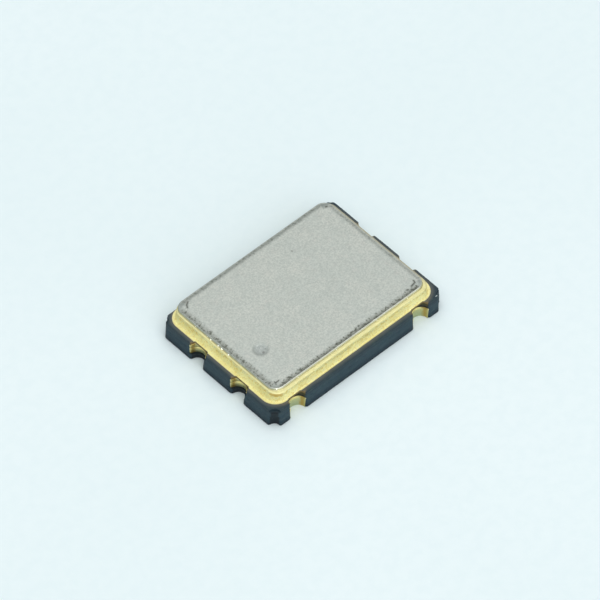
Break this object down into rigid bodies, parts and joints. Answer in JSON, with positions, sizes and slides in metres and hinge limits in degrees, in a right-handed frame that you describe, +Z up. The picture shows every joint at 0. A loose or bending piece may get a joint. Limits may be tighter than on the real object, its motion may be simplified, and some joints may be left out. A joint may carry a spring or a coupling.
{
  "type": "crystal oscillator",
  "caption": "Small flat clock oscillator in a leadless ceramic package, with a seam-welded metal lid on a gold seal ring and gold-plated castellated solder terminals.",
  "frame": {"origin": "centre of the package outline, at the underside of the solder pads", "axes": "+X along the long side, +Y along the short side, +Z up through the lid; terminal 1 is at -X, -Y and the terminals run counter-clockwise seen from above"},
  "size_m": [0.007, 0.005, 0.0011],
  "materials": {
    "dark_alumina": "matt, co-fired dark alumina",
    "gold_plating": "satin gold plating",
    "gold_plated_braze": "satin gold plating over braze",
    "gold_plated_ring": "satin gold plating over iron-nickel-cobalt alloy",
    "lid_metal": "satin nickel plate with seam weld marks",
    "inner_gold": "gold print",
    "silver_adhesive": "matt, silver-filled adhesive",
    "silicon": "polished silicon",
    "gold_wire": "bright gold",
    "printed_alumina": "matt",
    "quartz": "lapped and etched",
    "silver_film": "bright evaporated film"
  },
  "bodies": {
    "root": {"ceramic_base": "dark_alumina", "terminal_1": "gold_plating", "terminal_2": "gold_plating", "terminal_3": "gold_plating", "terminal_4": "gold_plating", "test_pad_1": "gold_plating", "test_pad_2": "gold_plating", "test_pad_3": "gold_plating", "test_pad_4": "gold_plating", "seal_metallisation": "gold_plating", "braze_joint": "gold_plated_braze", "seal_ring": "gold_plated_ring", "lid": "lid_metal", "die_pad": "inner_gold", "die_attach": "silver_adhesive", "oscillator_die": "silicon", "bond_finger_1": "inner_gold", "bond_finger_2": "inner_gold", "bond_finger_3": "inner_gold", "bond_finger_4": "inner_gold", "bond_finger_5": "inner_gold", "bond_finger_6": "inner_gold", "bond_wire_1": "gold_wire", "bond_wire_2": "gold_wire", "bond_wire_3": "gold_wire", "bond_wire_4": "gold_wire", "bond_wire_5": "gold_wire", "bond_wire_6": "gold_wire", "mount_pad_1": "inner_gold", "mount_pad_2": "inner_gold", "adhesive_dot_1": "silver_adhesive", "adhesive_dot_2": "silver_adhesive", "support_pillow": "printed_alumina", "quartz_blank": "quartz", "electrode_upper": "silver_film", "electrode_lower": "silver_film"}
  },
  "joints": []
}
